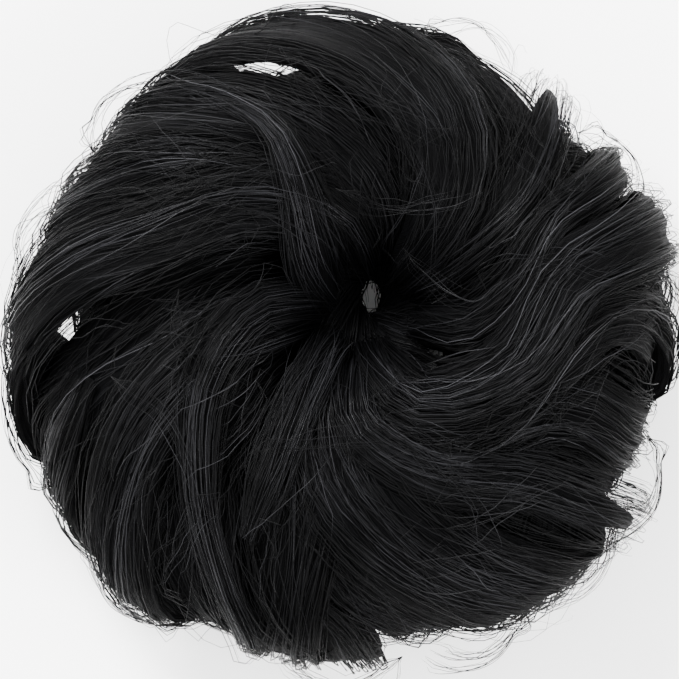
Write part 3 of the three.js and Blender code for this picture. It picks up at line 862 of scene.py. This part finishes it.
# Short hairs scattered over the crown, each bent, roughly along the swirl but crossing the locks.
SCATTERED = 90
SCATTERED_WITHIN = 0.070
scatter = random.Random(77)
for number in range(SCATTERED):
    start = scatter.uniform(0, math.tau)
    radius = scatter.uniform(0.014, 0.056)
    x, y = HOLE_AXIS.x + radius * math.cos(start), HOLE_AXIS.y * 0.6 + radius * math.sin(start)
    heading = start + math.radians(scatter.uniform(-10, 95))
    bend = math.radians(scatter.uniform(-14, 14))
    step = scatter.uniform(0.0035, 0.0085)
    route = []
    for _ in range(5):
        if math.hypot(x, y) < SCATTERED_WITHIN:
            route.append(over_crown(x, y, scatter.uniform(0.0, 0.0016)))
        x, y = x + step * math.cos(heading), y + step * math.sin(heading)
        heading += bend
    if len(route) > 2:
        stations = lock_stations(np.array(route), 0.3, 0.2, 1.0, STRAY_SPREADS, 14,
                                 out_is=FACES_UP)
        loose_parts.append(grow_strands("short", guide_mesh("short", stations), {
            "Strands": 3, "Wisps": 3, "Radius": STRAY_RADIUS, "Fill": 1.0, "Wisp Size": 0.5,
            "Cross": 1.2, "Lift": 0.3, "Wisp Wander": 0.3, "Wander": 0.1, "Uneven Ends": 0.4,
            "Seed": 500 + number, "Hair": stray_hair}))

# Each loop: bearing where it leaves and where it comes back, how far out it springs in
# millimetres, its level up the rim as a share of the height, and its hairs.
RIM_SPRINGS = [
    (8, -14, 1.4, 0.42, 12), (-24, -44, 1.6, 0.35, 14), (-62, -80, 0.8, 0.3, 14),
    (-84, -104, 1.0, 0.3, 12), (-120, -140, 0.8, 0.35, 12), (-150, -172, 1.2, 0.4, 14),
    (176, 158, 0.8, 0.45, 12), (150, 130, 0.4, 0.5, 10), (116, 98, 0.2, 0.5, 8),
    (78, 58, 1.6, 0.45, 10), (40, 20, 0.8, 0.45, 10), (-40, -58, 1.2, 0.3, 12),
]
SPRING_STARTS_IN = 0.005
for number, (leaves, returns, spring, level, hairs) in enumerate(RIM_SPRINGS):
    route = []
    for share in np.linspace(0, 1, 7):
        bearing = math.radians(leaves + (returns - leaves) * share)
        middle, half = section_on(bearing, 1.0)
        bow = math.sin(math.pi * share)
        radius = middle + half + spring / 1000 * bow - SPRING_STARTS_IN * (1 - bow)
        route.append((radius * math.cos(bearing), radius * math.sin(bearing),
                      BUN_HEIGHT * level * (1.3 - 0.6 * share)))
    stations = lock_stations(np.array(route), 0.3, 0.3, 1.0, STRAY_SPREADS, 22)
    loose_parts.append(grow_strands("spring", guide_mesh("spring", stations), {
        "Strands": hairs, "Wisps": hairs, "Radius": STRAY_RADIUS, "Fill": 1.0, "Wisp Size": 0.3,
        "Cross": 0.9, "Lift": 0.3, "Wisp Wander": 0.4, "Wander": 0.2, "Uneven Ends": 0.15,
        "Seed": 340 + number, "Hair": stray_hair}))

loose_hair = joined("loose_hairs", loose_parts)
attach(loose_hair, "root")


# ---- Studio -----------------------------------------------------------------------------------
# A plain pale table under soft light from all round, a window and a weaker lamp. The camera
# looks straight down on the crown, from far enough that the outline hardly tapers.

VIEW_WIDE = 0.1502
CAMERA_HIGH = 2.2
SENSOR_WIDE = 36
TABLE_HALF = 3
TABLE_PALE = (0.93, 0.93, 0.93, 1)
STUDIO_STRENGTH = 4.2
LIT_MIDDLE = (0, 0, 0.03)

table_mesh = bpy.data.meshes.new("table")
table_mesh.from_pydata([(x * TABLE_HALF, y * TABLE_HALF, 0) for x, y in (
    (-1, -1), (1, -1), (1, 1), (-1, 1))], [], [(0, 1, 2, 3)])
table = bpy.data.objects.new("table", table_mesh)
bpy.context.scene.collection.objects.link(table)
table_material, _, table_shader = material_tree("pale table")
table_shader.inputs["Base Color"].default_value = TABLE_PALE
table_shader.inputs["Roughness"].default_value = 0.9
table_mesh.materials.append(table_material)

world = bpy.data.worlds.new("studio")
world.use_nodes = True
sky = world.node_tree
rise = node(sky, "ShaderNodeSeparateXYZ", values={
    "Vector": node(sky, "ShaderNodeTexCoord", output=0)}, output=2)
dome = mix(sky, rise.ease(-0.1, 0.9), (0.3, 0.3, 0.3), (1.0, 1.0, 1.0))
sky.links.new(dome.socket, sky.nodes["Background"].inputs["Color"])
sky.nodes["Background"].inputs["Strength"].default_value = STUDIO_STRENGTH
bpy.context.scene.world = world


def soft_light(name, place, wide, watts):
    """A round lamp that faces the bun."""
    light = bpy.data.lights.new(name, "AREA")
    light.shape = "DISK"
    light.size = wide
    light.energy = watts
    lamp = bpy.data.objects.new(name, light)
    lamp.location = place
    faces = Vector(LIT_MIDDLE) - Vector(place)
    lamp.rotation_euler = faces.to_track_quat("-Z", "Y").to_euler()
    bpy.context.scene.collection.objects.link(lamp)


soft_light("window light", (-0.5, 0.75, 0.9), 0.5, 90)
soft_light("fill light", (0.8, -0.5, 0.9), 0.7, 35)

camera_data = bpy.data.cameras.new("camera")
camera_data.sensor_width = SENSOR_WIDE
camera_data.lens = SENSOR_WIDE * (CAMERA_HIGH - BUN_HEIGHT / 2) / VIEW_WIDE
camera = bpy.data.objects.new("camera", camera_data)
camera.location = (0, 0, CAMERA_HIGH)
camera_data.clip_end = 20
bpy.context.scene.collection.objects.link(camera)
bpy.context.scene.camera = camera
